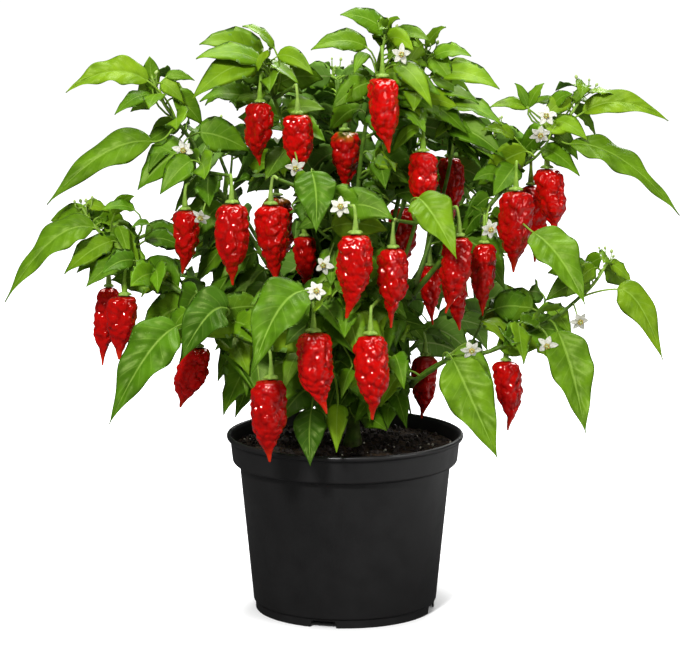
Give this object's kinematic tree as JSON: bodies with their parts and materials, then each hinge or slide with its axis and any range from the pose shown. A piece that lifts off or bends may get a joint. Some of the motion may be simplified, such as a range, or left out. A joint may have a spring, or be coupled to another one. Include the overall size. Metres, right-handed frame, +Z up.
{
  "type": "potted chilli pepper plant",
  "caption": "Bushy chilli pepper plant in a plastic nursery pot: branching green stem in soil, hanging wrinkled red chillies, drooping leaves, leafy shoots and white flowers",
  "frame": {"origin": "on the surface the pot stands on, under the middle of the pot", "axes": "+Z up, along the pot's axis; the plant's front faces -Y; +X to the right of someone who faces the front"},
  "size_m": [0.5551, 0.4189, 0.4954],
  "materials": {
    "pot_plastic": "satin",
    "soil": "matte",
    "stem": "matte",
    "chilli_flesh": "gloss",
    "leaf": "satin",
    "petal": "matte"
  },
  "bodies": {
    "root": {"pot": "pot_plastic", "soil": "soil", "stem": "stem", "chilli_01": "chilli_flesh", "chilli_02": "chilli_flesh", "chilli_03": "chilli_flesh", "chilli_04": "chilli_flesh", "chilli_05": "chilli_flesh", "chilli_06": "chilli_flesh", "chilli_07": "chilli_flesh", "chilli_08": "chilli_flesh", "chilli_09": "chilli_flesh", "chilli_10": "chilli_flesh", "chilli_11": "chilli_flesh", "chilli_12": "chilli_flesh", "chilli_13": "chilli_flesh", "chilli_14": "chilli_flesh", "chilli_15": "chilli_flesh", "chilli_16": "chilli_flesh", "chilli_17": "chilli_flesh", "chilli_18": "chilli_flesh", "chilli_19": "chilli_flesh", "chilli_20": "chilli_flesh", "chilli_21": "chilli_flesh", "chilli_22": "chilli_flesh", "chilli_23": "chilli_flesh", "chilli_24": "chilli_flesh", "chilli_25": "chilli_flesh", "chilli_26": "chilli_flesh", "leaf_01": "leaf", "leaf_02": "leaf", "leaf_03": "leaf", "leaf_04": "leaf", "leaf_05": "leaf", "leaf_06": "leaf", "leaf_07": "leaf", "leaf_08": "leaf", "leaf_09": "leaf", "leaf_10": "leaf", "leaf_11": "leaf", "leaf_12": "leaf", "leaf_13": "leaf", "leaf_14": "leaf", "leaf_15": "leaf", "shoot_01": "leaf", "shoot_02": "leaf", "shoot_03": "leaf", "shoot_04": "leaf", "shoot_05": "leaf", "shoot_06": "leaf", "shoot_07": "leaf", "shoot_08": "leaf", "shoot_09": "leaf", "shoot_10": "leaf", "shoot_11": "leaf", "shoot_12": "leaf", "flower_01": "petal", "flower_02": "petal", "flower_03": "petal", "flower_04": "petal"}
  },
  "joints": []
}
